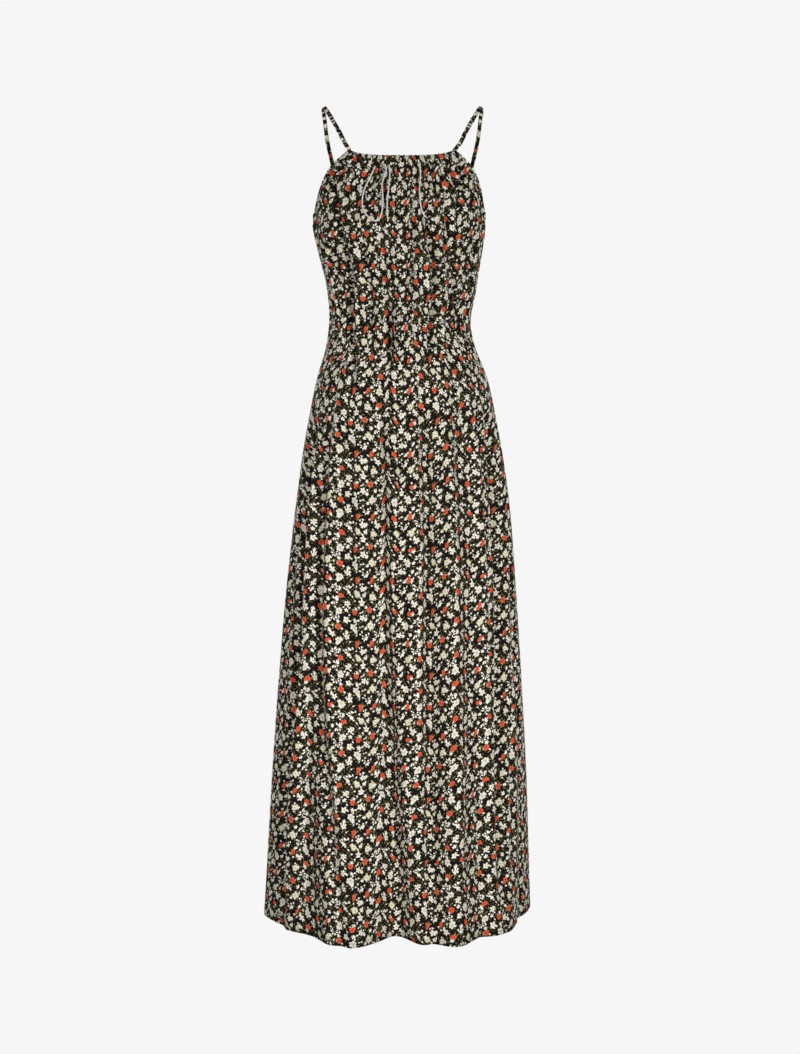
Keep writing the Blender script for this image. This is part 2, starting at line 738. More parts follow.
def make_cord_finish():
    """Pale cotton cord with a slanting twist."""
    f = Finish("drawstring_cord", Metallic=0.0, Sheen_Weight=0.2)
    u, v, _ = f.parts(f.grain())
    ply = ((v + u * TWIST_LEAN) * (2.0 * math.pi / TWIST_PITCH)).math("SINE") * 0.5 + 0.5
    f.feed("Base Color", f.mix(ply, CORD_DARK, CORD_PALE))
    f.roughen(f.grain(), FIBRE_SCALE, CORD_ROUGHNESS, CORD_SPAN)
    f.relieve(ply, TWIST_RELIEF, TWIST_HIGH)
    return f.material


def add_cord(name, route):
    """One stretch of the drawstring, declared as a free cord of its real length."""
    path = cord_path(route, CORD_FINE_POINTS)
    outward = unit(path * [1.0, 1.0, 0.0])
    wide_way = np.cross(np.gradient(path, axis=0), outward)
    cord = roll_tube(name + "_cord", path, wide_way, CORD_THICK, CORD_THICK, CORD_SIDES)
    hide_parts(name)
    finish(cord, CORD_FINISH)
    return cord


CORD_FINISH = make_cord_finish()
add_cord("drawstring_loop", LOOP_ROUTE)
add_cord("drawstring_end_left", LEFT_END_ROUTE)
add_cord("drawstring_end_right", RIGHT_END_ROUTE)

# %% [markdown]
# ## Where the cloth lies
#
# The front is one panel: its top edge runs down the right armhole, along the seam under the neck
# casing and down the left one. The back is one panel too, with a straight top edge. Each column of
# the grid hangs from a place on the top edge, so the gathers under the casing stay on their own
# columns all the way down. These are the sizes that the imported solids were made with.

# %% The panels' edges
EdgePoint = namedtuple("EdgePoint", "drop bearing")
ARMHOLE = table(
    EdgePoint,
    (0.0760, 45.0), (0.0903, 52.0), (0.1030, 59.0), (0.1220, 65.5), (0.1410, 70.0),
    (0.1600, 74.0), (0.1780, 79.0), (0.1890, 85.0), (0.1900, 90.0),
)
NECK_CORNER = ARMHOLE[0]
CASING_CORNER = ARMHOLE[1]
UNDERARM = ARMHOLE[-1]
NECK_CENTRE_DROP = 0.0835
CORNER_UPTURN = 3.0
BACK_SCOOP = 0.014
NECK_SHARE = 0.62
LEVEL_DROP = 0.300
SPREAD_DROP = 0.345
FRONT_TOP = NECK_CENTRE_DROP + CASING_DEPTH


def neck_curve(place, centre_drop, corner):
    """(bearing, drop) along the neck or the casing seam, whose corners turn up, for places from -1 to 1."""
    drop = centre_drop - (centre_drop - corner.drop) * np.abs(place) ** CORNER_UPTURN
    corner_x = float(body_size("half_width", corner.drop)) * math.sin(math.radians(corner.bearing))
    bearing = np.degrees(np.arcsin(corner_x * np.asarray(place) / body_size("half_width", drop)))
    return bearing, drop


def armhole_curve(t, start=CASING_CORNER):
    """(bearing, drop) down the left armhole's edge, for t from 0 at the start to 1 at the underarm."""
    points = [p for p in ARMHOLE if p.drop >= start.drop]
    span = np.linspace(0.0, 1.0, len(points))
    return through(span, [p.bearing for p in points], t), through(span, [p.drop for p in points], t)


def front_top(column):
    """(bearing, drop) of the front panel's top edge, for columns from -1 to 1."""
    place = np.clip(column / NECK_SHARE, -1.0, 1.0)
    neck_bearing, neck_drop = neck_curve(place, FRONT_TOP, CASING_CORNER)
    down = np.clip((np.abs(column) - NECK_SHARE) / (1.0 - NECK_SHARE), 0.0, 1.0)
    arm_bearing, arm_drop = armhole_curve(down)
    in_neck = np.abs(column) <= NECK_SHARE
    bearing = np.where(in_neck, neck_bearing, np.sign(column) * arm_bearing)
    return bearing, np.where(in_neck, neck_drop, arm_drop)


def front_place(column, level):
    """(bearing, drop) of a column of the front at a level, which is a drop measured at the centre."""
    top_bearing, top_drop = front_top(column)
    share = np.clip((level - FRONT_TOP) / (LEVEL_DROP - FRONT_TOP), 0.0, 1.0)
    drop = np.where(level < LEVEL_DROP, top_drop + (LEVEL_DROP - top_drop) * share, level)
    spread = smooth((level - FRONT_TOP) / (SPREAD_DROP - FRONT_TOP))
    bearing = top_bearing + (90.0 * column - top_bearing) * spread
    trim = np.degrees(SIDE_TRIM / body_size("front", drop))
    return np.clip(bearing, trim - 90.0, 90.0 - trim), drop


def back_top_drop(bearing):
    """The drop of the back panel's top edge: level with the underarms, and scooped in the middle."""
    return UNDERARM.drop + BACK_SCOOP * np.cos(np.radians(bearing)) ** 2


def back_place(column, level):
    """(bearing, drop) of a column of the back, from -1 at the left side seam to 1 at the right."""
    trim = np.degrees(SIDE_TRIM / body_size("back", level))
    bearing = 180.0 + column * (90.0 - trim)
    top = back_top_drop(bearing)
    share = np.clip((level - UNDERARM.drop) / (LEVEL_DROP - UNDERARM.drop), 0.0, 1.0)
    return turned(bearing), np.where(level < LEVEL_DROP, top + (LEVEL_DROP - top) * share, level)


print("front's top edge at the armhole corner:", CASING_CORNER)

# %% [markdown]
# ## The folds
#
# Light cloth falls in three kinds of fold here: gathers that fan out under the casing, gathers where
# the waist is drawn in, and the flutes of the skirt. The widest ones are in the solids. They are
# repeated here, and narrower creases are laid over them by hand, each with its own path, length and
# depth, because real cloth never folds evenly. The deepest go 21 mm into the skirt, and most of the
# others a few millimetres. A cloth simulation would make folds as well, but not these ones, and it
# would drift off the solids.

# %% Large folds, as in the solids
GATHER_AT_SEAM = 0.35
GATHER_OPENS_OVER = 0.012
NeckGather = namedtuple("NeckGather", "place depth run width")
NECK_GATHERS = table(
    NeckGather,
    (-0.930, -0.0018, 0.045, 0.060), (-0.790, -0.0030, 0.080, 0.070), (-0.655, -0.0026, 0.050, 0.065),
    (-0.520, -0.0038, 0.095, 0.068), (-0.385, -0.0040, 0.070, 0.066), (-0.250, -0.0046, 0.115, 0.068),
    (-0.120, -0.0040, 0.075, 0.064), (0.010, -0.0046, 0.125, 0.066), (0.140, -0.0048, 0.085, 0.066),
    (0.270, -0.0038, 0.110, 0.064), (0.400, -0.0044, 0.070, 0.066), (0.535, -0.0032, 0.095, 0.068),
    (0.670, -0.0028, 0.055, 0.066), (0.800, -0.0026, 0.075, 0.070), (0.930, -0.0018, 0.045, 0.060),
)
WAIST_DROP = 0.360
WaistGather = namedtuple("WaistGather", "bearing depth rise fall width")
WAIST_GATHERS = table(
    WaistGather,
    (-82, -0.0026, 0.055, 0.060, 7.0), (-66, -0.0036, 0.080, 0.070, 7.5),
    (-48, -0.0042, 0.110, 0.060, 8.0), (-36, -0.0028, 0.055, 0.085, 6.6),
    (-25, -0.0044, 0.095, 0.055, 6.8), (-10, -0.0054, 0.135, 0.100, 8.0),
    (8, -0.0050, 0.120, 0.070, 7.5), (20, -0.0026, 0.060, 0.050, 6.6),
    (31, -0.0050, 0.085, 0.105, 7.5), (43, -0.0030, 0.110, 0.060, 6.6),
    (55, -0.0042, 0.125, 0.070, 7.5), (72, -0.0034, 0.075, 0.060, 7.5),
    (99, -0.0028, 0.060, 0.070, 8.5), (114, -0.0038, 0.085, 0.075, 9.0),
    (133, -0.0044, 0.110, 0.070, 9.5), (151, -0.0040, 0.075, 0.095, 9.0),
    (168, -0.0048, 0.120, 0.075, 9.0), (-175, -0.0042, 0.085, 0.100, 9.0),
    (-158, -0.0046, 0.110, 0.075, 9.0), (-139, -0.0042, 0.080, 0.085, 9.5),
    (-119, -0.0036, 0.100, 0.070, 9.0), (-101, -0.0030, 0.060, 0.075, 8.5),
)
Flute = namedtuple("Flute", "bearing hem_bearing start reach flank_before flank_after")
FLUTE_GROWTH = 1.35
FLUTES = table(
    Flute,
    (-13, -1.5, 0.38, -0.046, 14, 12), (-46, -24, 0.40, 0.024, 16, 16),
    (7, 9, 0.50, 0.006, 8, 8), (28, 24, 0.40, 0.022, 11, 15),
    (50, 49, 0.48, 0.018, 14, 14), (69, 66, 0.50, -0.010, 12, 12),
    (-56, -56, 0.42, 0.006, 14, 13), (-76, -76, 0.60, 0.010, 13, 17),
    (90, 90, 0.60, 0.005, 15, 15), (117, 114, 0.44, -0.018, 16, 15),
    (139, 141, 0.42, 0.022, 16, 16), (160, 162, 0.50, -0.012, 12, 12),
    (178, 176, 0.44, 0.014, 12, 13), (-164, -162, 0.42, -0.030, 13, 14),
    (-140, -141, 0.44, 0.024, 15, 16), (-118, -116, 0.46, -0.016, 15, 15),
)


def neck_depth(place, below):
    """How far the gathers push the front in, this far below the casing. place is across the casing."""
    total = np.zeros(np.broadcast(place, below).shape)
    start = GATHER_AT_SEAM + (1.0 - GATHER_AT_SEAM) * smooth(below / GATHER_OPENS_OVER)
    for gather in NECK_GATHERS:
        fade = start * (1.0 - smooth(below / gather.run))
        total = total + gather.depth * fade * bump((place - gather.place) / gather.width)
    return total


def waist_depth(bearing, drop):
    """How far the waist's gathers push the cloth in at a place."""
    total = np.zeros(np.broadcast(bearing, drop).shape)
    for gather in WAIST_GATHERS:
        above = (WAIST_DROP - drop) / gather.rise
        below = (drop - WAIST_DROP) / gather.fall
        fade = 1.0 - smooth(np.maximum(above, below))
        total = total + gather.depth * fade * bump(turned(bearing - gather.bearing) / gather.width)
    return total


def flute_depth(bearing, drop):
    """How far the skirt's flutes push the cloth out at a place."""
    total = np.zeros(np.broadcast(bearing, drop).shape)
    for flute in FLUTES:
        grown = np.clip((drop - flute.start) / (LENGTH - flute.start), 0.0, 1.0)
        centre = flute.bearing + (flute.hem_bearing - flute.bearing) * grown
        off = turned(bearing - centre)
        flank = np.where(off < 0, flute.flank_before, flute.flank_after)
        total = total + flute.reach * grown**FLUTE_GROWTH * bump(off / flank)
    return total


print(len(NECK_GATHERS), "neck gathers,", len(WAIST_GATHERS), "waist gathers,", len(FLUTES), "flutes")

# %% Creases, laid by hand
Crease = namedtuple("Crease", "height width path")
CREASES = table(
    Crease,
    (-0.0210, 6.0, [(-64, 0.50), (-59, 0.70), (-56, 0.95), (-60, 1.18), (-58, 1.46)]),
    (0.0128, 8.0, [(-62, 0.50), (-54, 0.70), (-49, 0.90), (-51, 1.06), (-50, 1.46)]),
    (-0.0074, 4.6, [(-50, 0.44), (-46, 0.60), (-42, 0.80), (-36, 1.00), (-29, 1.16), (-22, 1.38),
                    (-19, 1.62)]),
    (0.0092, 7.0, [(-45, 0.46), (-39, 0.70), (-32, 0.94), (-25, 1.13), (-17, 1.38), (-14, 1.62)]),
    (0.0045, 3.6, [(-28, 0.50), (-22, 0.74), (-18, 0.95), (-13, 1.26)]),
    (-0.0097, 6.4, [(-17, 0.42), (-14, 0.60), (-10, 0.78), (-6, 1.00), (-2, 1.16), (4, 1.38), (6, 1.62)]),
    (0.0081, 5.4, [(-9, 0.42), (-6, 0.60), (-3, 0.90), (2, 1.10), (7, 1.38)]),
    (-0.0041, 3.0, [(-3, 0.50), (1, 0.74), (3, 1.02), (6, 1.30)]),
    (-0.0175, 5.2, [(12, 0.42), (13, 0.56), (14, 0.83), (14, 1.00), (14, 1.22), (16, 1.46)]),
    (0.0142, 7.4, [(28, 0.42), (25, 0.64), (25, 0.80), (24, 1.00), (23, 1.20), (24, 1.46)]),
    (0.0061, 4.6, [(48, 0.46), (44, 0.70), (42, 1.04), (41, 1.44)]),
    (-0.0175, 5.4, [(65, 0.46), (58, 0.64), (55, 0.84), (51, 1.00), (49, 1.20), (49, 1.46)]),
    (0.0065, 6.2, [(74, 0.50), (67, 0.75), (62, 1.00), (60, 1.44)]),
    (0.0090, 9.0, [(66, 0.90), (65, 1.15), (63, 1.38), (62, 1.70)]),
    (-0.0090, 6.0, [(6, 1.05), (8, 1.38), (8, 1.70)]),
    (0.0050, 6.0, [(-7, 1.05), (-9, 1.38), (-9, 1.70)]),
    (-0.0030, 1.5, [(5, 0.24), (5, 0.275), (5, 0.32)]),
    (-0.0034, 1.6, [(39, 0.225), (42, 0.26), (46, 0.31)]),
    (-0.0036, 1.6, [(34, 0.295), (37, 0.345), (37, 0.40)]),
    (-0.0034, 1.6, [(-25, 0.285), (-24, 0.335), (-25, 0.395)]),
    (-0.0030, 1.6, [(-36, 0.30), (-38, 0.34), (-36, 0.385)]),
    (-0.0030, 1.6, [(-9, 0.32), (-8, 0.37), (-10, 0.44)]),
    (-0.0030, 1.6, [(20, 0.34), (19, 0.39), (18, 0.46)]),
    (-0.0041, 2.0, [(-27, 0.084), (-26, 0.115), (-26, 0.150)]),
    (-0.0049, 1.9, [(-20, 0.082), (-19, 0.120), (-17, 0.175)]),
    (-0.0043, 1.8, [(-16, 0.086), (-15, 0.112), (-14, 0.140)]),
    (-0.0054, 1.9, [(-12, 0.080), (-11, 0.125), (-9, 0.200)]),
    (-0.0046, 1.8, [(-8, 0.084), (-8, 0.115), (-7, 0.155)]),
    (-0.0054, 1.9, [(-3, 0.080), (-2, 0.130), (-2, 0.215)]),
    (-0.0046, 1.8, [(1, 0.084), (1, 0.112), (1, 0.150)]),
    (-0.0054, 1.9, [(6, 0.080), (7, 0.120), (8, 0.185)]),
    (-0.0046, 1.8, [(10, 0.084), (11, 0.115), (11, 0.150)]),
    (-0.0051, 1.9, [(15, 0.082), (16, 0.125), (19, 0.195)]),
    (-0.0043, 1.9, [(21, 0.084), (23, 0.112), (24, 0.145)]),
    (-0.0046, 2.0, [(27, 0.086), (30, 0.122), (33, 0.170)]),
    (-0.0038, 2.0, [(36, 0.088), (38, 0.112), (40, 0.145)]),
    (-0.0050, 5.0, [(84, 0.46), (78, 0.66), (75, 0.90), (75, 1.16)]),
    (-0.0051, 5.0, [(-76, 0.45), (-71, 0.70), (-70, 0.98)]),
    (-0.0054, 5.0, [(-82, 0.70), (-84, 0.98), (-83, 1.25)]),
    (-0.0033, 2.6, [(-40, 0.39), (-37, 0.48), (-35, 0.60)]),
    (-0.0039, 2.6, [(3, 0.38), (4, 0.48), (6, 0.66)]),
    (-0.0109, 4.4, [(-46, 0.15), (-43, 0.22), (-40, 0.28), (-45, 0.35), (-37, 0.42), (-35, 0.48)]),
    (0.0078, 4.6, [(-35, 0.20), (-33, 0.27), (-37, 0.35), (-30, 0.42), (-28, 0.49)]),
    (-0.0078, 3.2, [(-26, 0.22), (-25, 0.29), (-27, 0.38)]),
    (-0.0098, 4.2, [(-15, 0.19), (-12, 0.24), (-13, 0.29), (-9, 0.35), (-9, 0.41), (-14, 0.47)]),
    (0.0078, 4.2, [(-3, 0.20), (-4, 0.28), (-2, 0.36), (-4, 0.45)]),
    (-0.0099, 3.6, [(9, 0.14), (8, 0.22), (6, 0.28), (8, 0.38)]),
    (0.0057, 3.2, [(13, 0.20), (11, 0.28), (15, 0.38)]),
    (-0.0138, 4.2, [(15, 0.14), (19, 0.20), (25, 0.27), (28, 0.33), (22, 0.41), (17, 0.47)]),
    (0.0082, 4.6, [(24, 0.20), (32, 0.28), (36, 0.35), (32, 0.42), (27, 0.49)]),
    (-0.0082, 3.6, [(31, 0.14), (36, 0.22), (44, 0.29), (55, 0.36)]),
    (-0.0088, 4.4, [(62, 0.20), (66, 0.27), (64, 0.36)]),
    (0.0062, 4.6, [(-56, 0.20), (-60, 0.26), (-62, 0.33), (-66, 0.40)]),
    (-0.0088, 4.6, [(-66, 0.22), (-70, 0.30), (-68, 0.38)]),
    (-0.0045, 2.8, [(-24, 0.096), (-20, 0.135), (-18, 0.19)]),
    (-0.0042, 2.6, [(-6, 0.096), (-4, 0.145), (-2, 0.20)]),
    (-0.0045, 2.8, [(4, 0.096), (5, 0.140), (4, 0.20)]),
    (-0.0042, 2.8, [(29, 0.100), (28, 0.145), (30, 0.20)]),
    (-0.0042, 3.0, [(-36, 0.098), (-32, 0.145), (-28, 0.20)]),
    (-0.0066, 3.6, [(-58, 0.092), (-50, 0.138), (-43, 0.190)]),
    (-0.0066, 3.6, [(53, 0.098), (44, 0.138), (42, 0.195)]),
    (-0.0093, 6.0, [(104, 0.44), (101, 0.66), (103, 0.96)]),
    (0.0060, 6.4, [(111, 0.52), (108, 0.80), (111, 1.12)]),
    (-0.0135, 6.0, [(123, 0.50), (126, 0.76), (124, 1.02), (128, 1.38), (129, 1.66)]),
    (-0.0045, 3.4, [(133, 0.40), (134, 0.52), (137, 0.68)]),
    (-0.0099, 5.4, [(146, 0.42), (150, 0.66), (148, 0.84), (152, 1.10)]),
    (0.0066, 6.0, [(157, 0.50), (160, 0.76), (158, 1.05), (161, 1.38), (162, 1.66)]),
    (-0.0132, 5.6, [(167, 0.58), (165, 0.84), (168, 1.10), (167, 1.38), (167, 1.66)]),
    (-0.0039, 3.0, [(172, 0.38), (174, 0.50), (173, 0.64)]),
    (-0.0096, 5.2, [(-172, 0.43), (-176, 0.66), (-175, 0.90), (-178, 1.20)]),
    (0.0054, 5.0, [(-166, 0.46), (-168, 0.70), (-165, 1.02)]),
    (-0.0126, 6.0, [(-153, 0.54), (-150, 0.80), (-154, 1.06), (-152, 1.38), (-151, 1.66)]),
    (-0.0042, 3.2, [(-142, 0.40), (-141, 0.54), (-143, 0.74)]),
    (-0.0090, 5.6, [(-128, 0.42), (-131, 0.62), (-129, 0.94)]),
    (0.0060, 6.0, [(-120, 0.60), (-122, 0.88), (-119, 1.38), (-118, 1.66)]),
    (-0.0096, 5.6, [(-105, 0.58), (-102, 0.86), (-104, 1.30)]),
    (-0.0057, 5.0, [(110, 0.20), (107, 0.28), (104, 0.38)]),
    (-0.0051, 4.0, [(128, 0.21), (126, 0.31), (129, 0.43)]),
    (0.0036, 4.2, [(137, 0.24), (135, 0.33), (138, 0.44)]),
    (-0.0060, 4.6, [(147, 0.21), (143, 0.29), (145, 0.37)]),
    (-0.0054, 4.2, [(171, 0.22), (174, 0.31), (172, 0.43)]),
    (-0.0051, 4.2, [(-160, 0.21), (-164, 0.29), (-161, 0.36)]),
    (-0.0060, 4.6, [(-143, 0.22), (-147, 0.32), (-145, 0.45)]),
    (0.0033, 4.0, [(-134, 0.24), (-136, 0.33), (-133, 0.42)]),
    (-0.0051, 4.4, [(-122, 0.20), (-125, 0.29), (-123, 0.38)]),
    (-0.0045, 4.6, [(-102, 0.23), (-106, 0.31), (-104, 0.39)]),
)
CREASE_START = 0.15
CREASE_END = 0.28


def crease_depth(bearing, drop):
    """How far the creases move the cloth at a place."""
    total = np.zeros(np.broadcast(bearing, drop).shape)
    for crease in CREASES:
        bearings, drops = zip(*crease.path)
        along = (drop - drops[0]) / (drops[-1] - drops[0])
        fade = smooth(along / CREASE_START) * smooth((1.0 - along) / CREASE_END)
        centre = through(drops, bearings, drop)
        total = total + crease.height * fade * bump(turned(bearing - centre) / crease.width)
    return total


print(len(CREASES), "creases, the deepest", -min(c.height for c in CREASES), "m")

# %% [markdown]
# ## Small unevenness
#
# Between the folds, gathered cloth is full of little ripples that are too many to place one by one.
# A few waves of unlike lengths, added together, never seem to repeat. They are strong where the
# cloth is gathered, just under the casing and at the waist, and faint everywhere else.

# %% Ripples
Wave = namedtuple("Wave", "per_unit lean share phase")
RIPPLE_WAVES = table(
    Wave,
    (23.0, 9.0, 0.40, 0.3), (31.0, -14.0, 0.34, 1.9),
    (47.0, 6.0, 0.26, 4.1), (61.0, -21.0, 0.18, 2.6),
)
RIPPLE_AT_CASING = 0.0029
RIPPLE_AT_WAIST = 0.0016
RIPPLE_ELSEWHERE = 0.0006
CASING_RIPPLE_START = 0.006
CASING_RIPPLE_RUN = 0.085
WAIST_RIPPLE_RUN = 0.090


def ripple(column, drop, below):
    """Small ripples on a panel. below is how far under the casing a place is."""
    waves = [w.share * np.sin(w.per_unit * math.pi * column + w.lean * drop + w.phase) for w in RIPPLE_WAVES]
    under_casing = (1.0 - smooth(below / CASING_RIPPLE_RUN)) * smooth(below / CASING_RIPPLE_START)
    at_waist = bump((drop - WAIST_DROP) / WAIST_RIPPLE_RUN)
    height = RIPPLE_AT_CASING * under_casing + RIPPLE_AT_WAIST * at_waist + RIPPLE_ELSEWHERE
    return sum(waves) * height


print("largest ripple", RIPPLE_AT_CASING, "m")

# %% [markdown]
# ## Front and back
#
# Each panel is a flat grid carried to its place, then given a wall with Solidify. The wall is set
# inwards, so only the creases and ripples take the printed side off the solid's own outside. The
# inner side gets its own finish, because a print only shows weakly through on the wrong side.

# %% What sets the two panels apart
Panel = namedtuple("Panel", "name place folds levels columns rows map_shift")
RowLevel = namedtuple("RowLevel", "share level")
FRONT_LEVELS = table(RowLevel, (0.0, FRONT_TOP), (0.30, 0.225), (0.60, 0.470), (1.0, LENGTH))
BACK_LEVELS = table(RowLevel, (0.0, UNDERARM.drop), (0.16, 0.250), (0.52, 0.470), (1.0, LENGTH))
FAR_BELOW = 1.0
BACK_TOP_RUN = 0.020


def front_folds(column, bearing, drop):
    """The front's own folds: its neck gathers and its ripples."""
    below = drop - front_top(column)[1]
    return neck_depth(column / NECK_SHARE, below) + ripple(column, drop, below)


def back_folds(column, bearing, drop):
    """The back's own folds: ripples alone, which leave its straight top edge flat."""
    below = drop - back_top_drop(bearing)
    return ripple(column, drop, FAR_BELOW) * smooth(below / BACK_TOP_RUN)


FRONT = Panel("front", front_place, front_folds, FRONT_LEVELS, 300, 160, 0.0)
BACK = Panel("back", back_place, back_folds, BACK_LEVELS, 220, 180, 0.40)


def printed_side(panel, column, level):
    """(bearing, drop, depth) of the printed side of a panel at a column and a level."""
    bearing, drop = panel.place(column, level)
    folds = panel.folds(column, bearing, drop) + crease_depth(bearing, drop) + flute_depth(bearing, drop)
    return bearing, drop, folds + waist_depth(bearing, drop)


print("front", FRONT.columns, "by", FRONT.rows, "faces, back", BACK.columns, "by", BACK.rows)

# %% Make the two panels
WALL = 0.0008
HIP_DROP = 0.530
PACKED = 0.6
PACKED_TO = 0.450
PACKED_FADE = 0.080
TOP_GRAIN = {}


def cloth_grain(points, drop, panel):
    """Each point's place on the flat cloth. Above the hips part of the width is lost in gathers."""
    columns, rows, middle = panel.columns, panel.rows, panel.columns // 2
    sheet = points.reshape(rows + 1, columns + 1, 3)
    drop = drop.reshape(rows + 1, columns + 1)
    across = np.linalg.norm(np.diff(sheet, axis=1), axis=2)
    u = np.concatenate([np.zeros((rows + 1, 1)), np.cumsum(across, axis=1)], axis=1)
    u = u - u[:, middle : middle + 1]
    hips = u[int(np.argmin(np.abs(drop[:, middle] - HIP_DROP)))]
    u = u + (hips - u) * PACKED * (1.0 - smooth((drop - PACKED_TO) / PACKED_FADE))
    down = np.linalg.norm(np.diff(sheet, axis=0), axis=2)
    v = np.concatenate([np.zeros((1, columns + 1)), np.cumsum(down, axis=0)], axis=0)
    level = int(np.argmin(np.abs(drop[:, middle] - LEVEL_DROP)))
    return np.stack([u.ravel(), (v[level : level + 1, :] - v).ravel()], axis=1)


def thicken(piece, wall, material_offset=0):
    """Gives a sheet a wall, set inwards from its outer side."""
    solid = piece.modifiers.new("wall", "SOLIDIFY")
    solid.thickness = wall
    solid.offset = -1.0
    solid.material_offset = material_offset
    bpy.ops.object.modifier_apply(modifier=solid.name)


def add_panel(panel):
    """One cloth panel, on the solid of its name."""
    piece, s, t = add_grid(panel.name + "_cloth", panel.columns, panel.rows)
    order = np.lexsort((s, t))
    level = through([r.share for r in panel.levels], [r.level for r in panel.levels], t)
    bearing, drop, depth = printed_side(panel, 2.0 * s - 1.0, level)
    points = ring(bearing, drop, depth)
    grain = np.empty((len(points), 2))
    grain[order] = cloth_grain(points[order], drop[order], panel)
    TOP_GRAIN[panel.name] = grain[order][: panel.columns + 1]
    carry(piece, points, grain + [panel.map_shift, 0.0])
    face_outwards(piece)
    piece.data.materials.append(PRINTED_CLOTH)
    piece.data.materials.append(CLOTH_REVERSE)
    thicken(piece, WALL, 1)
    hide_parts(panel.name)
    return finish(piece, PRINTED_CLOTH)


front = add_panel(FRONT)
back = add_panel(BACK)

# %% [markdown]
# ## The neck casing
#
# Along the neck the cloth is turned over a drawstring, which gathers it into a narrow ruched roll.
# It is a strip rolled into a tube: flat where it lies against the wearer, rounded outside, and
# puckered from end to end by the cord inside it. The puckers deepen at the seam and at the top edge.
# It is one piece with the front, only turned over, so the print runs on from the front's top edge.

# %% Make the casing
CASING_PUCKER = 0.8
CASING_COLUMNS = 460
ProfilePoint = namedtuple("ProfilePoint", "up out")
CASING_PROFILE = table(
    ProfilePoint,
    (0.00, 0.20), (-0.02, 0.62), (-0.06, 0.70), (-0.04, 0.80), (0.04, 0.93), (0.14, 0.99),
    (0.25, 1.00), (0.42, 1.00), (0.60, 0.98), (0.78, 0.93), (0.92, 0.85), (0.98, 0.72),
    (1.00, 0.55), (0.98, 0.30), (0.92, 0.12), (0.75, 0.03), (0.50, 0.00), (0.20, 0.06),
    (0.00, 0.20),
)
PUCKER_WAVES = table(
    Wave,
    (19.0, 0.5, 0.45, 0.8), (27.0, -0.7, 0.38, 2.9), (41.0, 0.9, 0.25, 5.0),
)
PUCKER_DEPTH = 0.0013
PUCKER_RISE = 0.0007
PUCKERS_FROM = 0.4
OUTER_FACE = 0.5
CALM_AT_ENDS = 4
CORNER_LIFT = 0.0030
CORNER_LIFT_CURVE = 6


def add_casing():
    """The gathered casing as a rolled grid: s goes along the neck and t round its section."""
    around = len(CASING_PROFILE) - 1
    casing, s, t = add_grid("neck_casing_cloth", CASING_COLUMNS, around)
    place = (2.0 * s - 1.0) * CASING_REACH
    at = np.rint(t * around).astype(int)
    up = np.array([p.up for p in CASING_PROFILE])[at]
    out = np.array([p.out for p in CASING_PROFILE])[at]
    low_bearing, low_drop = neck_curve(place, FRONT_TOP - SEAM_GAP, CASING_CORNER)
    high_bearing, high_drop = neck_curve(place, NECK_CENTRE_DROP, NECK_CORNER)
    high_drop = high_drop - CORNER_LIFT * np.abs(place) ** CORNER_LIFT_CURVE
    bearing = low_bearing + (high_bearing - low_bearing) * up
    waves = [w.share * np.sin(w.per_unit * math.pi * place + w.lean * up + w.phase) for w in PUCKER_WAVES]
    pucker = sum(waves) * bump(np.abs(place) ** CALM_AT_ENDS)
    rise = PUCKER_RISE * pucker * smooth((up - OUTER_FACE) * 2.0)
    drop = low_drop + (high_drop - low_drop) * up + rise
    folded = neck_depth(place, 0.0) * CASING_PUCKER * (out > OUTER_FACE)
    folded = folded + PUCKER_DEPTH * pucker * smooth((out - PUCKERS_FROM) * 2.0)
    points = ring(bearing, drop, (out - 0.5) * CASING_THICK - CLOTH / 2.0 + folded)
    columns = np.linspace(-1.0, 1.0, len(TOP_GRAIN["front"]))
    at_seam = place * NECK_SHARE
    seam_u, seam_v = (np.interp(at_seam, columns, TOP_GRAIN["front"][:, k]) for k in (0, 1))
    grain = np.stack([seam_u, seam_v + up * CASING_DEPTH + (1.0 - out) * CASING_THICK], axis=1)
    carry(casing, points, grain)
    edit(casing, close_tube)
    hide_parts("neck_casing")
    return finish(casing, PRINTED_CLOTH)


casing = add_casing()

# %% [markdown]
# ## Bindings and straps
#
# The armholes and the back's top edge are bound with a narrow strip of the same cloth, and the
# straps are thin rouleaux: strips sewn into tubes and turned right side out. All are tubes along a
# path. A rouleau is never quite even, so its width wavers a little, and each strap is pinched where
# it is caught in behind the casing.

# %% Make the bindings
BINDING_START = 0.02
BINDING_TIP = 0.45
BINDING_TIP_RUN = 0.12
BINDING_STATIONS = 150
BINDING_SIDES = 16
ROLL_SQUARE = 1.35
BINDING_WAVER = 0.035
BINDING_TURNS = 46.0
BINDING_GRAIN = (0.05, 0.3)
WaverWave = namedtuple("WaverWave", "share quicker phase")
WAVER_WAVES = table(WaverWave, (0.6, 1.0, 1.0), (0.4, 2.3, 1.7))


def waver(t, turns, phase):
    """A small uneven change of width along a strip."""
    return sum(w.share * np.sin(turns * w.quicker * t + phase * w.phase) for w in WAVER_WAVES)


def add_binding(name, bearing, drop, side, wide):
    """A rolled binding just clear of a cloth edge. side is 1 if the cloth ends to its left."""
    edge = ring(bearing, drop)
    normal = facing(bearing, drop)
    away = unit(np.cross(normal, np.gradient(edge, axis=0))) * side
    path = edge + away * (wide[:, None] / 2.0 + SEAM_GAP) - normal * CLOTH / 2.0
    t = np.linspace(0.0, 1.0, len(wide))
    wide = wide * (1.0 - BINDING_WAVER + BINDING_WAVER * waver(t, BINDING_TURNS, float(side)))
    binding = roll_tube(
        name + "_cloth", path, away, wide, BINDING_THICK, BINDING_SIDES, ROLL_SQUARE, BINDING_GRAIN
    )
    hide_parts(name)
    return finish(binding, PRINTED_CLOTH)


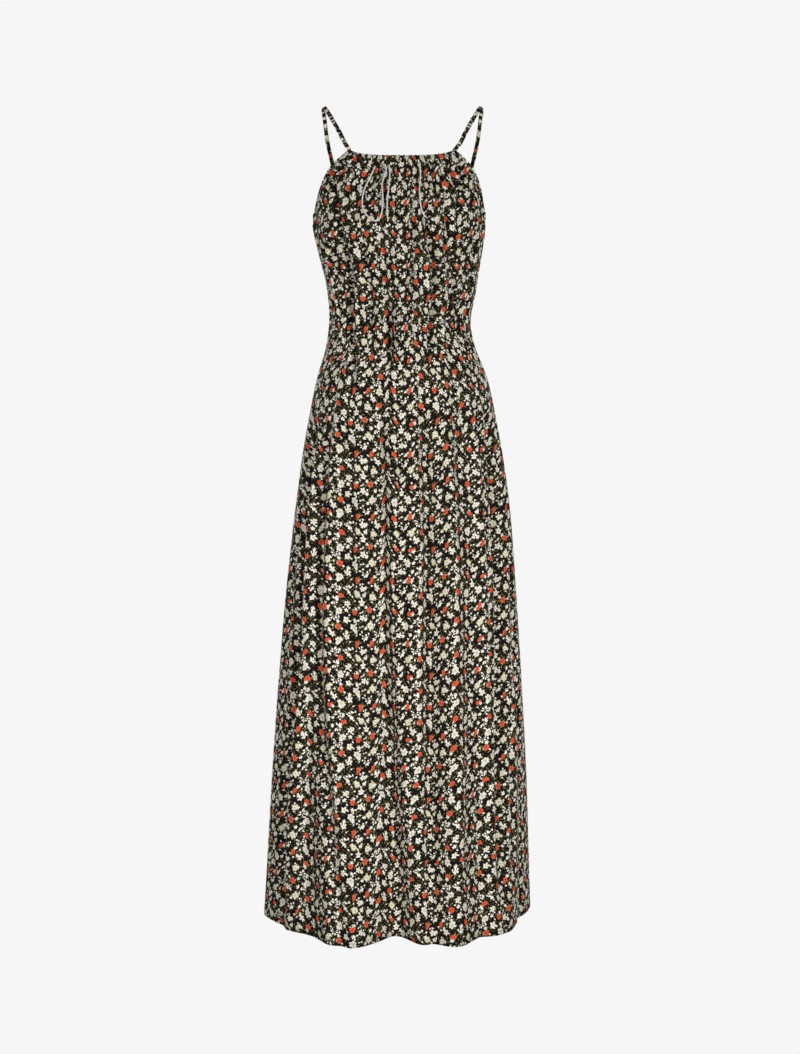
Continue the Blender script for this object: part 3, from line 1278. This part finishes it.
def add_armhole_binding(name, side):
    """The binding from a neck corner down to the side seam. side is 1 for the wearer's left."""
    t = np.linspace(BINDING_START, 1.0, BINDING_STATIONS)
    bearing, drop = armhole_curve(t, NECK_CORNER)
    trim = math.degrees(SEAM_GAP / float(body_size("front", UNDERARM.drop)))
    grown = smooth((t - BINDING_START) / BINDING_TIP_RUN)
    wide = BINDING_WIDE * (BINDING_TIP + (1.0 - BINDING_TIP) * grown)
    return add_binding(name, (bearing - trim * t) * side, drop, side, wide)


def add_back_binding():
    """The binding along the back's top edge."""
    trim = math.degrees(2.0 * SEAM_GAP / float(body_size("back", UNDERARM.drop)))
    bearing = np.linspace(90.0 + trim, 270.0 - trim, 2 * BINDING_STATIONS)
    wide = np.full(len(bearing), BINDING_WIDE)
    return add_binding("back_binding", turned(bearing), back_top_drop(bearing), 1, wide)


bindings = [
    add_armhole_binding("armhole_binding_left", 1.0),
    add_armhole_binding("armhole_binding_right", -1.0),
    add_back_binding(),
]

# %% Make the straps
StrapPoint = namedtuple("StrapPoint", "x y z")
STRAP_CREST = table(
    StrapPoint,
    (0.0951, -0.0530, -0.0613), (0.1020, -0.0455, -0.0475), (0.1094, -0.0360, -0.0340),
    (0.1183, -0.0240, -0.0187), (0.1260, -0.0100, -0.0065), (0.1305, 0.0020, -0.0012),
    (0.1322, 0.0160, -0.0050), (0.1310, 0.0320, -0.0174), (0.1297, 0.0440, -0.0332),
    (0.1278, 0.0530, -0.0497), (0.1247, 0.0600, -0.0669), (0.1210, 0.0650, -0.0829),
    (0.1178, 0.0685, -0.0970), (0.1120, 0.0715, -0.1300), (0.1050, 0.0715, -0.1650),
)
SHOULDER_RADIUS = 0.10
STRAP_SLOPE = 0.45
STRAP_FRONT_BEARING = 43.6
STRAP_FRONT_LEAN = 3.6
STRAP_BACK_BEARING = 136.5
STRAP_BACK_LEVEL = 0.004
STRAP_FRONT_LEVEL = 0.0015
STRAP_TUCK = 0.009
STRAP_PINCH = 0.65
STRAP_PINCH_RUN = 0.030
STRAP_SWAY = 0.0042
STRAP_STATIONS = 260
STRAP_SIDES = 18
STRAP_WAVER = 0.05
STRAP_TURNS = 60.0
STRAP_GRAIN_U = 0.0155
STRAP_GRAIN_V = 0.1


def add_strap(name, side):
    """A rouleau strap, its ends tucked behind the casing's corner and behind the back binding."""
    under_casing = -(CASING_THICK / 2.0 + CLOTH / 2.0 + STRAP_THICK / 2.0 + 2.0 * SEAM_GAP)
    under_back = -(CLOTH + STRAP_THICK / 2.0 + 2.0 * SEAM_GAP)
    front_drop = NECK_CORNER.drop + STRAP_FRONT_LEVEL
    back_drop = float(back_top_drop(STRAP_BACK_BEARING)) - BINDING_WIDE / 2.0
    ends = [
        (side * (STRAP_FRONT_BEARING - STRAP_FRONT_LEAN), front_drop + STRAP_TUCK, under_casing),
        (side * STRAP_FRONT_BEARING, front_drop, under_casing),
        (side * STRAP_BACK_BEARING, back_drop - STRAP_BACK_LEVEL, under_back),
        (side * STRAP_BACK_BEARING, back_drop + STRAP_TUCK, under_back),
    ]
    seats = [ring(*end) for end in ends]
    end_facing = [facing(np.array([end[0]]), np.array([end[1]]))[0] for end in ends]
    crest = np.array(STRAP_CREST) * [side, 1.0, 1.0] + [STRAP_SWAY, 0.0, 0.0]
    crest_out = unit(crest * [STRAP_SLOPE, 1.0, 0.0] + [0.0, 0.0, SHOULDER_RADIUS])
    route = np.array([*seats[:2], *crest, *seats[2:]])
    out = np.array([*end_facing[:2], *crest_out, *end_facing[2:]])
    reach = reach_along(route)
    at = np.linspace(0.0, reach[-1], STRAP_STATIONS)
    path = np.stack([through(reach, route[:, k], at) for k in range(3)], axis=1)
    outward = np.stack([through(reach, out[:, k], at) for k in range(3)], axis=1)
    wide_way = np.cross(np.gradient(path, axis=0), outward)
    wide = STRAP_WIDE * (STRAP_PINCH + (1.0 - STRAP_PINCH) * smooth(at / STRAP_PINCH_RUN))
    wavering = waver(at / reach[-1], STRAP_TURNS, float(side))
    wide = wide * (1.0 - STRAP_WAVER + STRAP_WAVER * wavering)
    strap = roll_tube(
        name + "_cloth", path, wide_way, wide, STRAP_THICK, STRAP_SIDES, ROLL_SQUARE,
        (STRAP_GRAIN_U, STRAP_GRAIN_V * side),
    )
    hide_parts(name)
    return finish(strap, PRINTED_CLOTH)


straps = [add_strap("strap_left", 1.0), add_strap("strap_right", -1.0)]

# %% [markdown]
# ## The hem
#
# The hem is turned up twice inside and stitched, so from outside it shows as a fine line of stitches
# 8 mm above the edge. The turned part is a narrow sheet just inside the skirt. The stitches are
# made once, as a short flat bead, and set along the line, joined into one piece for each panel.

# %% Make the hem's turning
HEM_TURN = 0.008
HEM_WALL = 0.0007
HEM_CLEAR = 0.0003
HEM_ABOVE_EDGE = 0.0004
HEM_REACH = 0.998
HEM_COLUMNS = 300
HEM_ROWS = 4
HEM_MAP_HALF = 0.4


def add_hem_turning(panel):
    """The strip of cloth turned up inside one panel's hem."""
    turning, s, t = add_grid(panel.name + "_hem_turning", HEM_COLUMNS, HEM_ROWS)
    column = (2.0 * s - 1.0) * HEM_REACH
    bearing, drop, depth = printed_side(panel, column, LENGTH - HEM_ABOVE_EDGE - t * HEM_TURN)
    points = ring(bearing, drop, depth - WALL - HEM_CLEAR)
    carry(turning, points, np.stack([column * HEM_MAP_HALF, t * HEM_TURN], axis=1))
    face_outwards(turning)
    thicken(turning, HEM_WALL)
    return finish(turning, CLOTH_REVERSE)


hem_turnings = [add_hem_turning(FRONT), add_hem_turning(BACK)]

# %% Make the stitches
STITCH_PITCH = 0.0030
STITCH_LONG = 0.0021
STITCH_THICK = 0.00045
STITCH_SINK = 0.0001
STITCH_SIDES = 6
STITCH_BEVEL = 0.2
STITCH_REACH = 0.995
STITCH_PROBE = 0.0005
LINE_POINTS = 900
THREAD_DARK = paint(52, 42, 40)
THREAD_PALE = paint(84, 72, 64)
THREAD_FIBRE_SCALE = 1800.0
THREAD_GLINT_SCALE = 900.0
THREAD_ROUGHNESS = 0.6
THREAD_SPAN = 0.2


def make_thread_finish():
    """Dark sewing thread."""
    f = Finish("sewing_thread", Metallic=0.0)
    where = f.value("ShaderNodeTexCoord", None, None, 3)
    f.feed("Base Color", f.mix(f.noise(where, THREAD_FIBRE_SCALE), THREAD_DARK, THREAD_PALE))
    f.roughen(where, THREAD_GLINT_SCALE, THREAD_ROUGHNESS, THREAD_SPAN)
    return f.material


def stitch_bead():
    """The points and faces of one stitch, a short bead along z."""
    pick_alone()
    radius = STITCH_THICK / 2.0
    bpy.ops.mesh.primitive_cylinder_add(vertices=STITCH_SIDES, radius=radius, depth=STITCH_LONG)
    bead = bpy.context.active_object
    edit(bead, lambda: bpy.ops.mesh.bevel(offset=STITCH_THICK * STITCH_BEVEL, segments=1))
    corners = np.array([tuple(v.co) for v in bead.data.vertices])
    faces = [tuple(p.vertices) for p in bead.data.polygons]
    bpy.data.objects.remove(bead)
    return corners, faces


def read_at(places, reach, values):
    """Rows of values read at places along a line, in straight steps."""
    return np.stack([np.interp(places, reach, values[:, k]) for k in range(3)], axis=-1)


def add_stitches(panel):
    """A line of stitches along one panel's hem, as one mesh."""
    column = np.linspace(-STITCH_REACH, STITCH_REACH, LINE_POINTS)
    bearing, drop, depth = printed_side(panel, column, np.full(LINE_POINTS, LENGTH - HEM_TURN))
    path = ring(bearing, drop, depth + STITCH_THICK / 2.0 - STITCH_SINK)
    reach = reach_along(path)
    count = int(reach[-1] / STITCH_PITCH)
    middles = (np.arange(count) + 0.5) / count * reach[-1]
    before, after = (read_at(middles + step, reach, path) for step in (-STITCH_PROBE, STITCH_PROBE))
    face = read_at(middles, reach, facing(bearing, drop))
    along = unit(after - before)
    side = unit(np.cross(face, along))
    corners, faces = stitch_bead()
    x, y, z = (corners[None, :, k, None] for k in range(3))
    points = ((before + after) / 2.0)[:, None]
    points = points + side[:, None] * x + face[:, None] * y + along[:, None] * z
    polygons = [tuple(n * len(corners) + i for i in f) for n in range(count) for f in faces]
    mesh = bpy.data.meshes.new(panel.name + "_hem_stitches")
    mesh.from_pydata(points.reshape(-1, 3).tolist(), [], polygons)
    mesh.update()
    piece = bpy.data.objects.new(mesh.name, mesh)
    bpy.context.scene.collection.objects.link(piece)
    edit(piece, lambda: bpy.ops.mesh.normals_make_consistent(inside=False))
    return finish(piece, SEWING_THREAD)


SEWING_THREAD = make_thread_finish()
hem_stitches = [add_stitches(FRONT), add_stitches(BACK)]

# %% [markdown]
# ## What the cloth was cut to
#
# A sheet of cloth keeps its size however it is gathered, so each panel is declared with the size it
# was cut to. The front is wider than the back at the top, for the gathers under the casing.


def cloth_area(panel):
    """The area of one side of a panel."""
    return sum(p.area for p in panel.data.polygons) / 2.0


print("front area", round(cloth_area(front), 3), "back area", round(cloth_area(back), 3))

# %% [markdown]
# ## Floor, backdrop and light
#
# The dress is shown on plain pale paper with no shadow. The paper here only shows itself to the
# camera, so it neither lights nor darkens the cloth. A large soft light stands in front and to the
# right, level with the top of the skirt, with a weaker one on the left. Their beams are narrowed, so
# the light eases off towards the neck and the hem. Two lamps behind light the back, and the pale
# world fills the shadows from all round.

# %% Set the stage
PAPER_LIGHT = 0.9216
FLOOR_BELOW_HEM = 0.10
STAGE_RADIUS = 7.0
FLOOR_CORNERS = 96
DOME_SEGMENTS = 64
DOME_RINGS = 32
WORLD_LIGHT = 0.105
Lamp = namedtuple("Lamp", "name place size watts spread")
LAMPS = [
    Lamp("key", (1.75, -3.1, -0.75), 0.8, 17.2, 80.0),
    Lamp("fill", (-2.0, -3.1, -0.75), 1.2, 12.2, 80.0),
    Lamp("back_left", (2.2, 2.4, 1.2), 1.4, 60.0, 180.0),
    Lamp("back_right", (-2.3, 2.3, 1.0), 1.4, 60.0, 180.0),
]
LAMP_AIM = (0.0, 0.0, -0.85)


def make_paper():
    """Pale paper that shows as it is, whatever the light."""
    f = Finish("pale_paper", Roughness=1.0)
    colour = (PAPER_LIGHT, PAPER_LIGHT, PAPER_LIGHT, 1.0)
    glow = f.add("ShaderNodeEmission", None, {"Color": colour, "Strength": 1.0})
    f.tree.links.new(glow.outputs[0], f.tree.nodes["Material Output"].inputs["Surface"])
    return f.material


def show_to_camera_alone(piece):
    """Keeps a stage piece from lighting or darkening the dress."""
    for ray in ("diffuse", "glossy", "shadow", "transmission"):
        setattr(piece, "visible_" + ray, False)


def add_stage():
    """A round pale floor under the dress and a pale dome round it."""
    paper = make_paper()
    pick_alone()
    bpy.ops.mesh.primitive_circle_add(vertices=FLOOR_CORNERS, radius=STAGE_RADIUS, fill_type="NGON")
    floor = bpy.context.active_object
    floor.name = "floor"
    floor.data.transform(floor.matrix_world.Translation((0.0, 0.0, -LENGTH - FLOOR_BELOW_HEM)))
    pick_alone()
    bpy.ops.mesh.primitive_uv_sphere_add(
        segments=DOME_SEGMENTS, ring_count=DOME_RINGS, radius=STAGE_RADIUS
    )
    dome = bpy.context.active_object
    dome.name = "backdrop"
    edit(dome, bpy.ops.mesh.flip_normals)
    for piece in (floor, dome):
        piece.data.materials.append(paper)
        show_to_camera_alone(piece)


def add_lamps():
    """Soft square lights, each turned to the dress."""
    for lamp in LAMPS:
        light = bpy.data.lights.new(lamp.name, "AREA")
        light.shape = "SQUARE"
        light.size = lamp.size
        light.energy = lamp.watts
        light.spread = math.radians(lamp.spread)
        holder = bpy.data.objects.new(lamp.name, light)
        holder.location = lamp.place
        away = holder.location - type(holder.location)(LAMP_AIM)
        holder.rotation_euler = away.to_track_quat("Z", "Y").to_euler()
        holder.visible_camera = False
        bpy.context.scene.collection.objects.link(holder)


def set_world():
    """Even pale light from all round."""
    world = bpy.data.worlds.new("studio")
    world.use_nodes = True
    background = world.node_tree.nodes["Background"]
    background.inputs["Color"].default_value = (1.0, 1.0, 1.0, 1.0)
    background.inputs["Strength"].default_value = WORLD_LIGHT
    bpy.context.scene.world = world
    bpy.context.scene.view_settings.view_transform = "Standard"


add_stage()
add_lamps()
set_world()
print(len(LAMPS), "lamps round the dress")
